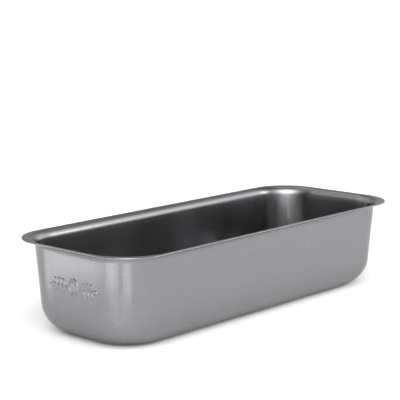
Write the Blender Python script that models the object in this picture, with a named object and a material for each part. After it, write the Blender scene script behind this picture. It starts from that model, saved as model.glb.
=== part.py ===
"""Loaf pan, drawn from one metal sheet.

Frame: +Z up, X along the length, Y across the width. The origin is on the
underside of the flat bottom, midway along the length and the width.

The pan is one sheet of constant thickness. Going outward from the middle of
the bottom it runs through a large bottom bend, up a drafted wall, through a
small lip bend, and out along a level lip that ends in a trimmed, barely
rounded edge. Every level of the sheet is a rounded rectangle, so the solid is
a loft through a closed series of such rings: up the outer skin, round the
trimmed edge, and back down the inner skin.
"""
import math

import bpy
import bmesh

# ---------------------------------------------------------------- dimensions
LENGTH = 0.300          # over the lip, along X
WIDTH = 0.120           # over the lip, along Y
HEIGHT = 0.065          # underside of the bottom to the top of the lip
SHEET = 0.0009          # sheet thickness

LIP_WIDTH = 0.0055      # lip edge to the line of the wall, at lip height
LIP_BEND = 0.0050       # radius of the lip bend, on the underside
LIP_CORNER = 0.0305     # plan radius of the trimmed lip corners
EDGE_ROUND = 0.0002     # softening of the trimmed edge

END_DRAFT = 0.0021      # how far an end wall leans in over the full height
SIDE_DRAFT = 0.0029     # the same for a side wall
WALL_CORNER_TOP = 0.032     # plan radius of the wall corners at lip height
WALL_CORNER_BASE = 0.0372    # the same, where the walls would meet the ground

BASE_BEND = 0.0203      # outer radius of the bend between bottom and walls

CORNER_STEPS = 10       # facets round each plan corner
BASE_STEPS = 8          # facets through the bottom bend
LIP_STEPS = 5           # facets through the lip bend

END_TILT = math.atan2(END_DRAFT, HEIGHT)
SIDE_TILT = math.atan2(SIDE_DRAFT, HEIGHT)
MEAN_TILT = 0.5 * (END_TILT + SIDE_TILT)


# -------------------------------------------------------------------- rings
def rounded_rectangle(half_x, half_y, radius, z):
    """Points of a rounded rectangle at height z, counter-clockwise."""
    points = []
    for corner in range(4):
        sign_x = 1.0 if corner in (0, 3) else -1.0
        sign_y = 1.0 if corner in (0, 1) else -1.0
        centre_x = sign_x * (half_x - radius)
        centre_y = sign_y * (half_y - radius)
        for step in range(CORNER_STEPS + 1):
            angle = (corner + step / CORNER_STEPS) * math.pi / 2
            points.append((centre_x + radius * math.cos(angle),
                           centre_y + radius * math.sin(angle), z))
    return points


def wall_line(z):
    """Half length, half width and corner radius of the outer wall skin at z."""
    down = (HEIGHT - z) / HEIGHT
    return (LENGTH / 2 - LIP_WIDTH - END_DRAFT * down,
            WIDTH / 2 - LIP_WIDTH - SIDE_DRAFT * down,
            WALL_CORNER_TOP + (WALL_CORNER_BASE - WALL_CORNER_TOP) * down)


def base_bend_ring(share, inset):
    """Ring in the bottom bend: share 0 at the flat bottom, 1 at the wall.

    inset is 0 on the outer skin and the sheet thickness on the inner one; the
    two skins share the bend's centre line, so the sheet keeps its thickness.
    """
    radius = BASE_BEND - inset
    line_x, line_y, _ = wall_line(BASE_BEND)
    turn = share * (math.pi / 2 - MEAN_TILT)
    z = BASE_BEND - radius * math.cos(turn)
    turn_x = share * (math.pi / 2 - END_TILT)
    turn_y = share * (math.pi / 2 - SIDE_TILT)
    half_x = line_x - BASE_BEND / math.cos(END_TILT) + radius * math.sin(turn_x)
    half_y = line_y - BASE_BEND / math.cos(SIDE_TILT) + radius * math.sin(turn_y)
    wall_x, wall_y, wall_r = wall_line(z)
    step_in = 0.5 * ((wall_x - half_x) + (wall_y - half_y))
    return rounded_rectangle(half_x, half_y, wall_r - step_in, z)


def lip_bend_ring(share, outset):
    """Ring in the lip bend: share 0 at the wall, 1 at the level lip.

    outset is 0 on the underside and the sheet thickness on the upper side.
    """
    radius = LIP_BEND + outset
    centre_z = HEIGHT - SHEET - LIP_BEND
    line_x, line_y, line_r = wall_line(centre_z)
    centre_x = line_x + LIP_BEND / math.cos(END_TILT)
    centre_y = line_y + LIP_BEND / math.cos(SIDE_TILT)
    turn = MEAN_TILT + share * (math.pi / 2 - MEAN_TILT)
    turn_x = END_TILT + share * (math.pi / 2 - END_TILT)
    turn_y = SIDE_TILT + share * (math.pi / 2 - SIDE_TILT)
    z = centre_z + radius * math.sin(turn)
    half_x = centre_x - radius * math.cos(turn_x)
    half_y = centre_y - radius * math.cos(turn_y)
    step_out = 0.5 * ((half_x - line_x) + (half_y - line_y))
    return rounded_rectangle(half_x, half_y, line_r + step_out, z)


def lip_edge_ring(step_in, z):
    """Ring near the trimmed edge, step_in inside the lip outline."""
    return rounded_rectangle(LENGTH / 2 - step_in, WIDTH / 2 - step_in,
                             LIP_CORNER - step_in, z)


def sheet_rings():
    """All rings from the bottom's underside, over the lip, to its upper side."""
    rings = []
    for i in range(BASE_STEPS + 1):
        rings.append(base_bend_ring(i / BASE_STEPS, 0.0))
    for i in range(LIP_STEPS + 1):
        rings.append(lip_bend_ring(i / LIP_STEPS, 0.0))
    under, top = HEIGHT - SHEET, HEIGHT
    rings.append(lip_edge_ring(EDGE_ROUND, under))
    rings.append(lip_edge_ring(0.0, under + EDGE_ROUND))
    rings.append(lip_edge_ring(0.0, top - EDGE_ROUND))
    rings.append(lip_edge_ring(EDGE_ROUND, top))
    for i in range(LIP_STEPS, -1, -1):
        rings.append(lip_bend_ring(i / LIP_STEPS, SHEET))
    for i in range(BASE_STEPS, -1, -1):
        rings.append(base_bend_ring(i / BASE_STEPS, SHEET))
    return rings


# --------------------------------------------------------------------- solid
def build_pan_mesh(name):
    mesh = bpy.data.meshes.new(name)
    bm = bmesh.new()
    rows = [[bm.verts.new(p) for p in ring] for ring in sheet_rings()]
    for lower, upper in zip(rows, rows[1:]):
        count = len(lower)
        for i in range(count):
            j = (i + 1) % count
            bm.faces.new((lower[i], lower[j], upper[j], upper[i]))
    bm.faces.new(list(reversed(rows[0])))       # underside of the flat bottom
    bm.faces.new(rows[-1])                      # inside of the flat bottom
    bm.to_mesh(mesh)
    bm.free()
    mesh.shade_smooth()
    mesh.set_sharp_from_angle(angle=math.radians(35.0))
    return mesh


def coated_metal(name):
    material = bpy.data.materials.new(name)
    material.use_nodes = True
    shader = material.node_tree.nodes["Principled BSDF"]
    shader.inputs["Base Color"].default_value = (0.36, 0.36, 0.37, 1.0)
    shader.inputs["Metallic"].default_value = 0.9
    shader.inputs["Roughness"].default_value = 0.36
    material.diffuse_color = (0.36, 0.36, 0.37, 1.0)
    return material


def main():
    for old in list(bpy.data.objects):
        bpy.data.objects.remove(old, do_unlink=True)
    mesh = build_pan_mesh("pan_shell")
    mesh.materials.append(coated_metal("satin_coated_sheet"))
    pan = bpy.data.objects.new("pan_shell", mesh)
    bpy.context.collection.objects.link(pan)
    return pan


main()
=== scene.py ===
"""Looks for the loaf pan: the drawn shell at fine resolution with its rounded
lip and pressed emblem, a satin coated metal, studio light and the camera.

Frame as in the CAD: metres, +Z up, X along the length, origin on the underside
of the flat bottom."""
import math

import bpy
import numpy as np
from mathutils import Matrix, Vector


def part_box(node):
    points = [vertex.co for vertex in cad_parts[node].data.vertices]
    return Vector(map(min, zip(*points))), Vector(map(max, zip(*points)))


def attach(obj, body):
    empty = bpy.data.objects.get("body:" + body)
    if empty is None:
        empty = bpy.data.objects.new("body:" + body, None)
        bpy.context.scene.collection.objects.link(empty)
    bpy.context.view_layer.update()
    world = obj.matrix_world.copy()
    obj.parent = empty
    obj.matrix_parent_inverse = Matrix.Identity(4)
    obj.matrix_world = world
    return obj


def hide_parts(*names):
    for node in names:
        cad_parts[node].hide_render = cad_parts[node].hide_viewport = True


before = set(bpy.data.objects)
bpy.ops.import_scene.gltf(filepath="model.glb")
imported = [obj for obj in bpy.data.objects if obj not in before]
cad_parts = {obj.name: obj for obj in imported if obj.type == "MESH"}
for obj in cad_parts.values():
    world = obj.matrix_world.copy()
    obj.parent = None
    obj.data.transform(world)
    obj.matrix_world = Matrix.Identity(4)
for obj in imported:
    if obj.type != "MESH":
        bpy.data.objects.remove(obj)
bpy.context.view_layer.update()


LOW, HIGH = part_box("pan_shell")

# ------------------------------------------------------------ pan dimensions
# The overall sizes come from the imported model; the rest repeats the design.
LENGTH = HIGH.x - LOW.x
WIDTH = HIGH.y - LOW.y
HEIGHT = HIGH.z - LOW.z
SHEET = 0.0009
LIP_WIDTH = 0.0055
LIP_BEND = 0.0050
LIP_CORNER = 0.0305
EDGE_ROUND = 0.00015
END_DRAFT = 0.0021
SIDE_DRAFT = 0.0029
WALL_CORNER_TOP = 0.032
WALL_CORNER_BASE = 0.0372
BASE_BEND = 0.0203
END_TILT = math.atan2(END_DRAFT, HEIGHT)
SIDE_TILT = math.atan2(SIDE_DRAFT, HEIGHT)
MEAN_TILT = 0.5 * (END_TILT + SIDE_TILT)

# The emblem is pressed outward in the -X end wall.
EMBLEM_Y = -0.0030          # its middle, across the end
EMBLEM_Z = 0.0387           # and its height above the ground
EMBLEM_HALF_W = 0.0220
EMBLEM_HALF_H = 0.0072
EMBLEM_WIDE, EMBLEM_TALL = 0.91, 1.13
EMBLEM_LIFT = 0.00048

FINE = 0.0002               # grid pitch where the emblem is


# --------------------------------------------------------- outline of a ring
def column_plan():
    """(kind, corner or side index, share) for each point round a ring, the
    same for all rings. Corners 0..3 lie at (+,+), (-,+), (-,-), (+,-), and
    side i runs from corner i to corner i + 1. Side 1 is the -X end, and it and
    the parts of its corners that the emblem reaches are closely spaced."""
    columns = []
    _, wall_y, radius = wall_line(EMBLEM_Z)
    flat = wall_y - radius                       # half the straight part of the end
    arc = radius * math.pi / 2
    reach = (EMBLEM_Y + EMBLEM_HALF_W - flat, -EMBLEM_Y + EMBLEM_HALF_W - flat)

    def corner_shares(dense_length, count=22):
        """Shares from the corner's -X end on, dense at first."""
        dense = max(0, int(round(dense_length / FINE)))
        first = dense * FINE / arc
        return ([i * FINE / arc for i in range(dense)]
                + [first + (1 - first) * i / count for i in range(count + 1)])

    def side(index, count):
        columns.extend(("side", index, i / count) for i in range(1, count))

    plain = [("corner", 0, i / 24) for i in range(25)]
    columns.extend(plain)
    side(0, 12)
    columns.extend(("corner", 1, 1 - s) for s in reversed(corner_shares(reach[0])))
    side(1, int(round(2 * flat / FINE)))
    columns.extend(("corner", 2, s) for s in corner_shares(reach[1]))
    side(2, 12)
    columns.extend(("corner", 3, s) for _, _, s in plain)
    side(3, 6)
    return columns


def wall_line(z):
    down = (HEIGHT - z) / HEIGHT
    return (LENGTH / 2 - LIP_WIDTH - END_DRAFT * down,
            WIDTH / 2 - LIP_WIDTH - SIDE_DRAFT * down,
            WALL_CORNER_TOP + (WALL_CORNER_BASE - WALL_CORNER_TOP) * down)


COLUMNS = column_plan()
KIND = np.array([0 if c[0] == "corner" else 1 for c in COLUMNS])
INDEX = np.array([c[1] for c in COLUMNS])
SHARE = np.array([c[2] for c in COLUMNS])
SIGN_X = np.array([1.0, -1.0, -1.0, 1.0])
SIGN_Y = np.array([1.0, 1.0, -1.0, -1.0])


def outline(half_x, half_y, radius):
    """Points (n, 2) of a rounded rectangle at the planned columns."""
    def corner_point(index, share):
        angle = (index + share) * math.pi / 2
        return np.stack([SIGN_X[index] * (half_x - radius) + radius * np.cos(angle),
                         SIGN_Y[index] * (half_y - radius) + radius * np.sin(angle)], -1)
    on_corner = corner_point(INDEX, SHARE)
    start = corner_point(INDEX, np.ones(len(INDEX)))
    end = corner_point((INDEX + 1) % 4, np.zeros(len(INDEX)))
    on_side = start + (end - start) * SHARE[:, None]
    return np.where((KIND == 0)[:, None], on_corner, on_side)


def ring(half_x, half_y, radius, z):
    xy = outline(half_x, half_y, radius)
    return np.column_stack([xy, np.full(len(xy), z)])


def base_bend_ring(share, inset):
    radius = BASE_BEND - inset
    line_x, line_y, _ = wall_line(BASE_BEND)
    z = BASE_BEND - radius * math.cos(share * (math.pi / 2 - MEAN_TILT))
    half_x = (line_x - BASE_BEND / math.cos(END_TILT)
              + radius * math.sin(share * (math.pi / 2 - END_TILT)))
    half_y = (line_y - BASE_BEND / math.cos(SIDE_TILT)
              + radius * math.sin(share * (math.pi / 2 - SIDE_TILT)))
    wall_x, wall_y, wall_r = wall_line(z)
    step_in = 0.5 * ((wall_x - half_x) + (wall_y - half_y))
    return half_x, half_y, wall_r - step_in, z


def lip_bend_ring(share, outset):
    radius = LIP_BEND + outset
    centre_z = HEIGHT - SHEET - LIP_BEND
    line_x, line_y, line_r = wall_line(centre_z)
    z = centre_z + radius * math.sin(MEAN_TILT + share * (math.pi / 2 - MEAN_TILT))
    half_x = (line_x + LIP_BEND / math.cos(END_TILT)
              - radius * math.cos(END_TILT + share * (math.pi / 2 - END_TILT)))
    half_y = (line_y + LIP_BEND / math.cos(SIDE_TILT)
              - radius * math.cos(SIDE_TILT + share * (math.pi / 2 - SIDE_TILT)))
    step_out = 0.5 * ((half_x - line_x) + (half_y - line_y))
    return half_x, half_y, line_r + step_out, z


def wall_ring(z, inset):
    x, y, r = wall_line(z)
    return (x - inset / math.cos(END_TILT), y - inset / math.cos(SIDE_TILT),
            r - inset, z)


def wall_levels():
    """Heights of the wall's rings, closely spaced across the emblem."""
    bottom = BASE_BEND - BASE_BEND * math.cos(math.pi / 2 - MEAN_TILT)
    top = HEIGHT - SHEET - LIP_BEND + LIP_BEND * math.sin(MEAN_TILT)
    low = EMBLEM_Z - EMBLEM_HALF_H
    high = EMBLEM_Z + EMBLEM_HALF_H
    rows = int(round((high - low) / FINE))
    levels = [bottom + (low - bottom) * i / 4 for i in range(1, 4)]
    levels += [low + (high - low) * i / rows for i in range(rows + 1)]
    levels += [high + (top - high) * i / 4 for i in range(1, 4)]
    return levels


def flat_bottom_rings(inset, from_middle):
    """Rings of the flat bottom inside the bottom bend, coarse."""
    half_x, half_y, radius, z = base_bend_ring(0.0, inset)
    rings = []
    for share in (0.12, 0.3, 0.5, 0.7, 0.86):
        step = share * (half_y - 0.002)
        rings.append((half_x - step, half_y - step, max(radius - step, 0.0015 + 0.002 * (1 - share)), z))
    return rings[::-1] if from_middle else rings


# -------------------------------------------------------------------- emblem
def capsule(p, q, a, b, width):
    """Distance outside a line from a to b with the given half width."""
    ax, ay = a
    dx, dy = b[0] - ax, b[1] - ay
    t = np.clip(((p - ax) * dx + (q - ay) * dy) / (dx * dx + dy * dy), 0, 1)
    return np.hypot(p - ax - t * dx, q - ay - t * dy) - width


def grain(p, q, centre, angle, half_length, half_width):
    """Approximate distance outside a pointed grain of wheat."""
    c, s = math.cos(angle), math.sin(angle)
    u = ((p - centre[0]) * c + (q - centre[1]) * s) / half_length
    v = -(p - centre[0]) * s + (q - centre[1]) * c
    t = np.clip(u, -1, 1)
    wide = half_width * (1 - t * t) ** 0.8 * (1 - 0.25 * t)
    return np.where(np.abs(u) < 1, np.abs(v) - wide,
                    np.hypot((np.abs(u) - 1) * half_length, v))


def soft(distance, edge):
    t = np.clip(0.5 - distance / (2 * edge), 0, 1)
    return t * t * (3 - 2 * t)


def stalk(t):
    return 0.0068 + 0.0135 * t, -0.0004 + 0.0008 * math.sin(math.pi * t)


def emblem_height(s, z, edge):
    """Relief of the emblem, from 0 to 1: a plain round scored loaf between two
    ears of wheat, the same left and right. s runs across the wall and z up,
    both from its middle, and edge is half the width of a slope."""
    p, q = np.abs(s) / EMBLEM_WIDE, z / EMBLEM_TALL
    shapes = [np.abs(np.hypot(p, q) - 0.0046) - 0.00068]
    for x in (0.0, 0.0022):                      # scores of the loaf
        shapes.append(capsule(p, q, (x, 0.0021 - 0.25 * x), (x, -0.0021 + 0.25 * x), 0.00055))
    for i in range(8):
        shapes.append(capsule(p, q, stalk(i / 8), stalk((i + 1) / 8), 0.0005))
    for i in range(3):                           # pairs of grains
        x, y = stalk(0.10 + 0.31 * i)
        size = 1.0 - 0.06 * i
        for side in (1, -1):
            angle = side * math.radians(48)
            centre = (x + 0.0031 * size * math.cos(angle), y + 0.0031 * size * math.sin(angle))
            shapes.append(grain(p, q, centre, angle, 0.0029 * size, 0.00145 * size))
    x, y = stalk(1.0)
    shapes.append(grain(p, q, (x + 0.0014, y), 0.0, 0.0026, 0.00125))
    relief = np.zeros_like(p)
    for shape in shapes:
        relief = np.maximum(relief, soft(shape, edge))
    return relief


def press_emblem(points, edge):
    """Moves the points of a wall ring outward by the emblem's relief."""
    z = points[0, 2]
    if abs(z - EMBLEM_Z) > EMBLEM_HALF_H:
        return points
    half_x, half_y, r, _ = wall_ring(z, 0.0)
    xy = points[:, :2]
    # distance along the end wall from its middle, towards +Y
    run = np.zeros(len(points))
    normal = np.zeros((len(points), 2))
    use = np.zeros(len(points), bool)
    end = (KIND == 1) & (INDEX == 1)
    run[end] = xy[end, 1]
    normal[end] = (-1, 0)
    use |= end
    flat = half_y - r
    left = (KIND == 0) & (INDEX == 1)
    turn = (1 - SHARE[left]) * math.pi / 2
    run[left] = flat + r * turn
    normal[left] = np.stack([-np.cos(turn), np.sin(turn)], -1)
    right = (KIND == 0) & (INDEX == 2)
    turn = SHARE[right] * math.pi / 2
    run[right] = -flat - r * turn
    normal[right] = np.stack([-np.cos(turn), -np.sin(turn)], -1)
    use |= left | right
    lift = np.where(use, EMBLEM_LIFT * emblem_height(run - EMBLEM_Y, z - EMBLEM_Z, edge), 0)
    out = points.copy()
    out[:, :2] += normal * lift[:, None]
    return out


# --------------------------------------------------------------- visual mesh
def shell_rings():
    rings = []                                   # the points of each ring
    add = lambda spec: rings.append(ring(*spec))
    for spec in flat_bottom_rings(0.0, True):
        add(spec)
    for i in range(15):
        add(base_bend_ring(i / 14, 0.0))
    for z in wall_levels():
        rings.append(press_emblem(ring(*wall_ring(z, 0.0)), 0.00030))
    for i in range(11):
        add(lip_bend_ring(i / 10, 0.0))
    for i in range(9):                           # rounded trimmed edge
        turn = -math.pi / 2 + math.pi * i / 8
        half = SHEET / 2
        flat = half - EDGE_ROUND
        z = HEIGHT - half + math.copysign(flat, math.sin(turn)) * (1 if i != 4 else 0) + EDGE_ROUND * math.sin(turn)
        step = EDGE_ROUND * (1 - math.cos(turn))
        rings.append(ring(LENGTH / 2 - step, WIDTH / 2 - step, LIP_CORNER - step, z))
    for i in range(10, -1, -1):
        add(lip_bend_ring(i / 10, SHEET))
    for z in reversed(wall_levels()):
        rings.append(press_emblem(ring(*wall_ring(z, SHEET)), 0.0009))
    for i in range(14, -1, -1):
        add(base_bend_ring(i / 14, SHEET))
    for spec in flat_bottom_rings(SHEET, False):
        add(spec)
    return rings


def store_masks(mesh, verts):
    """Masks that the material reads: the corners, the bare trimmed edge, and
    where the pan is rubbed in use, on the rim and round the bottom bend."""
    x, y, z = np.abs(verts[:, 0]), np.abs(verts[:, 1]), verts[:, 2]
    from_corner = np.minimum(x - (LENGTH / 2 - 0.040), y - (WIDTH / 2 - 0.040))
    corner = np.clip(from_corner / 0.006, 0, 1) * np.clip(z / 0.012, 0, 1)
    line_x, line_y = LENGTH / 2 - x, WIDTH / 2 - y
    round_x, round_y = x - (LENGTH / 2 - LIP_CORNER), y - (WIDTH / 2 - LIP_CORNER)
    in_turn = (round_x > 0) & (round_y > 0)
    to_rim = np.where(in_turn, LIP_CORNER - np.hypot(round_x, round_y), np.minimum(line_x, line_y))
    bare = np.clip(1 - to_rim / 0.0002, 0, 1)
    rim = np.clip((z - (HEIGHT - 0.0011)) / 0.0008, 0, 1)
    bend = np.clip(1 - z / 0.010, 0, 1) ** 2
    rubbed = np.maximum(0.5 * rim, bend)
    for name, values in (("corner", corner), ("bare_edge", bare), ("rubbed", rubbed)):
        layer = mesh.attributes.new(name, "FLOAT", "POINT")
        layer.data.foreach_set("value", values.astype(np.float32))


def build_shell():
    rings = shell_rings()
    count = len(COLUMNS)
    verts = np.concatenate(rings)
    n = len(rings)
    i = np.arange(count)
    j = (i + 1) % count
    faces = []
    for k in range(n - 1):
        a, b = k * count, (k + 1) * count
        faces.append(np.stack([a + i, a + j, b + j, b + i], -1))
    quads = np.concatenate(faces)
    caps = [list(range(count))[::-1], list(range((n - 1) * count, n * count))]
    mesh = bpy.data.meshes.new("pan_skin")
    mesh.from_pydata(verts.tolist(), [], quads.tolist() + caps)
    mesh.validate()
    mesh.shade_smooth()
    mesh.update()
    store_masks(mesh, verts)
    return mesh


# ------------------------------------------------------------------ material
PAN_TINT = (0.2465, 0.2465, 0.2537)
PAN_ROUGH = 0.205


class Nodes:
    """Short forms for the nodes that the materials use."""

    def __init__(self, tree):
        self.tree = tree
        self.where = self.new("ShaderNodeTexCoord").outputs["Object"]

    def new(self, kind, **settings):
        node = self.tree.nodes.new(kind)
        for key, value in settings.items():
            setattr(node, key, value)
        return node

    def feed(self, socket, value):
        if hasattr(value, "is_output"):
            self.tree.links.new(value, socket)
        else:
            socket.default_value = value

    def maths(self, op, a, b=None, clamp=False):
        node = self.new("ShaderNodeMath", operation=op, use_clamp=clamp)
        self.feed(node.inputs[0], a)
        if b is not None:
            self.feed(node.inputs[1], b)
        return node.outputs["Value"]

    def span(self, value, low, high, to_low, to_high):
        node = self.new("ShaderNodeMapRange")
        for key, v in (("Value", value), ("From Min", low), ("From Max", high),
                       ("To Min", to_low), ("To Max", to_high)):
            self.feed(node.inputs[key], v)
        return node.outputs["Result"]

    def noise(self, scale, detail=2.0, rough=0.5, stretch=None):
        node = self.new("ShaderNodeTexNoise")
        node.inputs["Scale"].default_value = scale
        node.inputs["Detail"].default_value = detail
        node.inputs["Roughness"].default_value = rough
        source = self.where
        if stretch:
            mapping = self.new("ShaderNodeMapping")
            mapping.inputs["Scale"].default_value = stretch
            self.feed(mapping.inputs["Vector"], source)
            source = mapping.outputs["Vector"]
        self.feed(node.inputs["Vector"], source)
        return node.outputs["Fac"]

    def mask(self, name):
        return self.new("ShaderNodeAttribute", attribute_name=name).outputs["Fac"]


def satin_metal(name):
    """Satin coated sheet. The coat carries a fine grain, a faint cloudiness,
    upright draw marks at the corners, fine rub marks where the pan is slid and
    stacked, and none on the trimmed edge, where the bare sheet shows."""
    mat = bpy.data.materials.new(name)
    mat.use_nodes = True
    shader = mat.node_tree.nodes["Principled BSDF"]
    n = Nodes(mat.node_tree)
    corner, bare, rubbed = n.mask("corner"), n.mask("bare_edge"), n.mask("rubbed")

    grit = n.noise(2300.0, 1.0, 0.5)
    fine = n.noise(900.0, 2.0, 0.6)
    cloud = n.noise(38.0, 3.0, 0.5)
    streak = n.noise(520.0, 2.0, 0.5, (1.0, 1.0, 0.03))
    scratch = n.noise(700.0, 2.0, 0.6, (0.05, 1.0, 0.25))
    scratch = n.span(scratch, 0.60, 0.72, 0.0, 1.0)
    worn = n.maths("MULTIPLY", rubbed, scratch)

    tone = n.maths("MULTIPLY", n.span(grit, 0.3, 0.7, 0.87, 1.13), n.span(fine, 0.3, 0.7, 0.955, 1.045))
    tone = n.maths("MULTIPLY", tone, n.span(cloud, 0.3, 0.7, 0.988, 1.012))
    tone = n.maths("MULTIPLY", tone, n.span(bare, 0.0, 1.0, 1.0, 1.12))
    tone = n.maths("MULTIPLY", tone, n.span(worn, 0.0, 1.0, 1.0, 1.22))
    tint = n.new("ShaderNodeCombineColor")
    for socket, value in zip(tint.inputs, PAN_TINT):
        n.feed(socket, n.maths("MULTIPLY", tone, value))
    n.feed(shader.inputs["Base Color"], tint.outputs["Color"])

    rough = n.maths("ADD", n.span(grit, 0.3, 0.7, -0.010, 0.010), n.span(cloud, 0.3, 0.7, -0.012, 0.012))
    drawn = n.maths("MULTIPLY", corner, n.span(streak, 0.3, 0.7, -0.022, 0.022))
    rough = n.maths("ADD", rough, drawn)
    rough = n.maths("ADD", rough, n.span(bare, 0.0, 1.0, 0.0, 0.05))
    rough = n.maths("ADD", rough, n.span(worn, 0.0, 1.0, 0.0, 0.07))
    n.feed(shader.inputs["Roughness"], n.maths("ADD", rough, PAN_ROUGH))
    shader.inputs["Metallic"].default_value = 1.0
    # the coat stays dark where it is seen at a glance
    shader.inputs["Specular Tint"].default_value = (0.72, 0.72, 0.73, 1)
    # the roll marks of the sheet spread light up and down more than sideways
    shader.inputs["Anisotropic"].default_value = 0.6
    shader.inputs["Anisotropic Rotation"].default_value = 0.25
    tangent = n.new("ShaderNodeTangent", direction_type="RADIAL", axis="Z")
    n.feed(shader.inputs["Tangent"], tangent.outputs["Tangent"])

    relief = n.maths("ADD", grit, n.maths("MULTIPLY", n.maths("MULTIPLY", corner, streak), 0.5))
    relief = n.maths("ADD", relief, n.maths("MULTIPLY", worn, -0.5))
    bump = n.new("ShaderNodeBump")
    bump.inputs["Strength"].default_value = 0.10
    bump.inputs["Distance"].default_value = 0.00004
    n.feed(bump.inputs["Height"], relief)
    n.feed(shader.inputs["Normal"], bump.outputs["Normal"])
    return mat


pan = bpy.data.objects.new("pan", build_shell())
bpy.context.scene.collection.objects.link(pan)
pan.data.materials.append(satin_metal("satin_coated_sheet"))
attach(pan, "root")
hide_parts("pan_shell")


# --------------------------------------------------------------------- stage
def floor():
    mesh = bpy.data.meshes.new("floor")
    s = 40.0
    mesh.from_pydata([(-s, -s, 0), (s, -s, 0), (s, s, 0), (-s, s, 0)], [], [(0, 1, 2, 3)])
    obj = bpy.data.objects.new("floor", mesh)
    bpy.context.scene.collection.objects.link(obj)
    mat = bpy.data.materials.new("white_ground")
    mat.use_nodes = True
    shader = mat.node_tree.nodes["Principled BSDF"]
    shader.inputs["Base Color"].default_value = (0.93, 0.93, 0.93, 1)
    shader.inputs["Roughness"].default_value = 0.9
    shader.inputs["Specular IOR Level"].default_value = 0.1
    mesh.materials.append(mat)
    obj.location.z = -0.0002
    return obj


floor()

# -------------------------------------------------------------------- camera
AZIMUTH, ELEVATION, ROLL = -0.83524, 0.17636, -0.0017
DISTANCE, FOCAL_PX = 0.94478, 1315.7
AIM = Vector((-0.01732, 0.0, 0.07959))


def camera():
    data = bpy.data.cameras.new("camera")
    data.sensor_fit = "HORIZONTAL"
    data.sensor_width = 36.0
    data.lens = FOCAL_PX / 400 * 36.0
    data.clip_start, data.clip_end = 0.01, 200.0
    obj = bpy.data.objects.new("camera", data)
    bpy.context.scene.collection.objects.link(obj)
    back = Vector((math.sin(AZIMUTH) * math.cos(ELEVATION),
                   -math.cos(AZIMUTH) * math.cos(ELEVATION), math.sin(ELEVATION)))
    right = Vector((math.cos(AZIMUTH), math.sin(AZIMUTH), 0))
    up = back.cross(right)
    right, up = (math.cos(ROLL) * right + math.sin(ROLL) * up,
                 math.cos(ROLL) * up - math.sin(ROLL) * right)
    rot = Matrix((right, up, back)).transposed()
    obj.matrix_world = Matrix.Translation(AIM + DISTANCE * back) @ rot.to_4x4()
    bpy.context.scene.camera = obj
    return obj


camera()


# --------------------------------------------------------------------- light
# Bearings are counted from the camera's side of the pan, seen from above, in
# degrees: 90 is to the camera's right and 180 is behind the pan.
def away(bearing, height=0.0):
    turn, lift = AZIMUTH + math.radians(bearing), math.radians(height)
    return Vector((math.sin(turn) * math.cos(lift),
                   -math.cos(turn) * math.cos(lift), math.sin(lift)))


def panel(name, centre, facing, wide, tall, strength):
    """A rectangular light of even brightness that isn't seen itself."""
    data = bpy.data.lights.new(name, "AREA")
    data.shape = "RECTANGLE"
    data.size, data.size_y = wide, tall
    data.energy = strength * math.pi * wide * tall
    obj = bpy.data.objects.new(name, data)
    bpy.context.scene.collection.objects.link(obj)
    turn = (-facing).to_track_quat("Z", "Y").to_matrix().to_4x4()
    obj.matrix_world = Matrix.Translation(centre) @ turn
    obj.visible_camera = False
    return obj


def softbox(name, bearing, height, distance, wide, tall, strength):
    direction = away(bearing, height)
    return panel(name, Vector((0, 0, 0.05)) + direction * distance, -direction, wide, tall, strength)


# Low lights lie on the ground round the emblem end, facing up. They only give
# the metal something bright to mirror, so they light nothing else. Distances
# are counted from the wall.
END_MIDDLE = Vector((-(LENGTH / 2 - 0.004), 0, 0))
CORNER_MIDDLE = Vector((-(LENGTH / 2 - LIP_WIDTH - WALL_CORNER_TOP),
                        -(WIDTH / 2 - LIP_WIDTH - WALL_CORNER_TOP), 0))


def ground_light(name, middle, across, wide, deep, strength):
    light = panel(name, middle, Vector((0, 0, 1)), wide, deep, strength)
    side = Vector((-across.y, across.x, 0))
    turn = Matrix((across, -side, Vector((0, 0, -1)))).transposed()
    light.matrix_world = Matrix.Translation(middle + Vector((0, 0, 0.0005))) @ turn.to_4x4()
    light.visible_diffuse = False


def end_strip(left, right, near, far, strength):
    """Mirrored in the flat end wall, between two sideways offsets."""
    middle = END_MIDDLE + away(3) * (left + right) / 2 + away(-87) * (near + far) / 2
    ground_light("end_strip", middle, away(3), right - left, far - near, strength)


def corner_strip(start, end, near, far, strength):
    """Mirrored in the corner of the wall, between two bearings."""
    a, b = (CORNER_MIDDLE + away(turn / 2) * WALL_CORNER_TOP + away(turn) * (near + far) / 2
            for turn in (start, end))
    along = b - a
    ground_light("corner_strip", (a + b) / 2, along.normalized(), along.length, far - near, strength)


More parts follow.
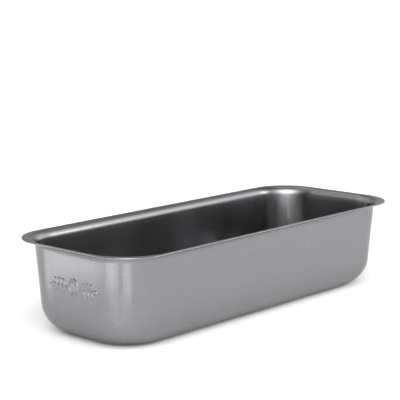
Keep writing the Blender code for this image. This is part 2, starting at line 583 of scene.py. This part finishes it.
END_STRIPS = [
    (-0.075, -0.028, 0.025, 0.05, 0.041),
    (-0.075, -0.028, 0.08, 0.115, 0.077),
    (-0.075, -0.028, 0.16, 0.23, 1.023),
    (-0.028, 0.03, 0.23, 0.45, 1.31),
    (-0.075, -0.028, 0.115, 0.16, 0.735),
    (-0.028, 0.03, 0.16, 0.23, 1.138),
    (-0.075, -0.028, 0.23, 0.45, 0.564),
]
CORNER_STRIPS = [
    (-20, -9, 0.025, 0.05, 0.187),
    (-30, -20, 0.05, 0.08, 0.206),
    (-9, 0.5, 0.05, 0.08, 0.1),
    (-40, -30, 0.08, 0.115, 0.358),
    (-20, -9, 0.08, 0.115, 0.06),
    (0.5, 10, 0.08, 0.115, 0.944),
    (-50, -40, 0.115, 0.16, 1.308),
    (-30, -20, 0.115, 0.16, 1.055),
    (-9, 0.5, 0.115, 0.16, 1.098),
    (-84, -50, 0.16, 0.23, 1.116),
    (-40, -30, 0.16, 0.23, 0.968),
    (-50, -40, 0.23, 0.45, 0.282),
    (-30, -20, 0.23, 0.45, 0.283),
    (-9, 0.5, 0.23, 0.45, 0.124),
    (-30, -20, 0.025, 0.05, 0.21),
    (-9, 0.5, 0.025, 0.05, 0.1),
    (-40, -30, 0.05, 0.08, 0.153),
    (-20, -9, 0.05, 0.08, 0.103),
    (0.5, 10, 0.05, 0.08, 0.058),
    (-30, -20, 0.08, 0.115, 0.318),
    (-9, 0.5, 0.08, 0.115, 0.47),
    (-40, -30, 0.115, 0.16, 1.505),
    (-20, -9, 0.115, 0.16, 0.114),
    (0.5, 10, 0.115, 0.16, 0.706),
    (-50, -40, 0.16, 0.23, 0.899),
    (-30, -20, 0.16, 0.23, 0.63),
    (-9, 0.5, 0.16, 0.23, 0.364),
    (-84, -50, 0.23, 0.45, 0.415),
    (-40, -30, 0.23, 0.45, 0.408),
]
SOFTBOXES = [
    (80, 27, 1.2, 0.5, 0.5, 2.166),
    (-100, 30, 1.2, 0.5, 0.5, 0.552),
    (180, 60, 1.2, 0.6, 0.5, 0.887),
    (-20, 25, 1.2, 0.3, 0.5, 0.218),
    (-95, 22, 1.2, 0.5, 0.3, 0.165),
]
SKY = [
    (-135, 12, 12, 0.392),
    (-90, 12, 12, 0.133),
    (0, 12, 12, 3.581),
    (45, 12, 12, 0.37),
    (135, 12, 12, 1.819),
    (180, 12, 12, 0.411),
    (-120, 42, 8, 0.912),
    (0, 42, 8, 4.231),
    (60, 42, 8, 0.097),
    (120, 42, 8, 0.086),
    (90, 27, 12, 2.317),
]
for row in END_STRIPS:
    end_strip(*row)
for row in CORNER_STRIPS:
    corner_strip(*row)
for k, row in enumerate(SOFTBOXES):
    softbox("softbox_%d" % k, *row)
# one more lightens the ground beyond the emblem end and isn't mirrored
fill = softbox("ground_fill", -92, 34, 1.2, 0.6, 0.6, 1.2)
fill.visible_glossy = False


def studio_sky():
    """A large dome of soft light with broad bright areas, and a plain white
    backdrop where the camera looks past the ground."""
    world = bpy.data.worlds.new("studio")
    bpy.context.scene.world = world
    world.use_nodes = True
    tree = world.node_tree
    nodes, links = tree.nodes, tree.links

    def maths(op, a, b):
        node = nodes.new("ShaderNodeMath")
        node.operation = op
        for socket, value in zip(node.inputs, (a, b)):
            if isinstance(value, (int, float)):
                socket.default_value = value
            else:
                links.new(value, socket)
        return node.outputs["Value"]

    direction = nodes.new("ShaderNodeTexCoord").outputs["Generated"]
    total = SKY_BASE
    for bearing, height, sharpness, strength in SKY:
        dot = nodes.new("ShaderNodeVectorMath")
        dot.operation = "DOT_PRODUCT"
        links.new(direction, dot.inputs[0])
        dot.inputs[1].default_value = away(bearing, height)
        glow = maths("POWER", maths("MAXIMUM", dot.outputs["Value"], 0.0), sharpness)
        total = maths("ADD", total, maths("MULTIPLY", glow, strength))
    sky = nodes["Background"]
    links.new(total, sky.inputs["Strength"])
    sky.inputs["Color"].default_value = (1, 1, 1, 1)
    backdrop = nodes.new("ShaderNodeBackground")
    backdrop.inputs["Color"].default_value = (1, 1, 1, 1)
    backdrop.inputs["Strength"].default_value = 1.1
    ray = nodes.new("ShaderNodeLightPath")
    mix = nodes.new("ShaderNodeMixShader")
    links.new(ray.outputs["Is Camera Ray"], mix.inputs["Fac"])
    links.new(sky.outputs["Background"], mix.inputs[1])
    links.new(backdrop.outputs["Background"], mix.inputs[2])
    links.new(mix.outputs["Shader"], nodes["World Output"].inputs["Surface"])


SKY_BASE = 0.1795
studio_sky()

bpy.context.scene.view_settings.view_transform = "Standard"
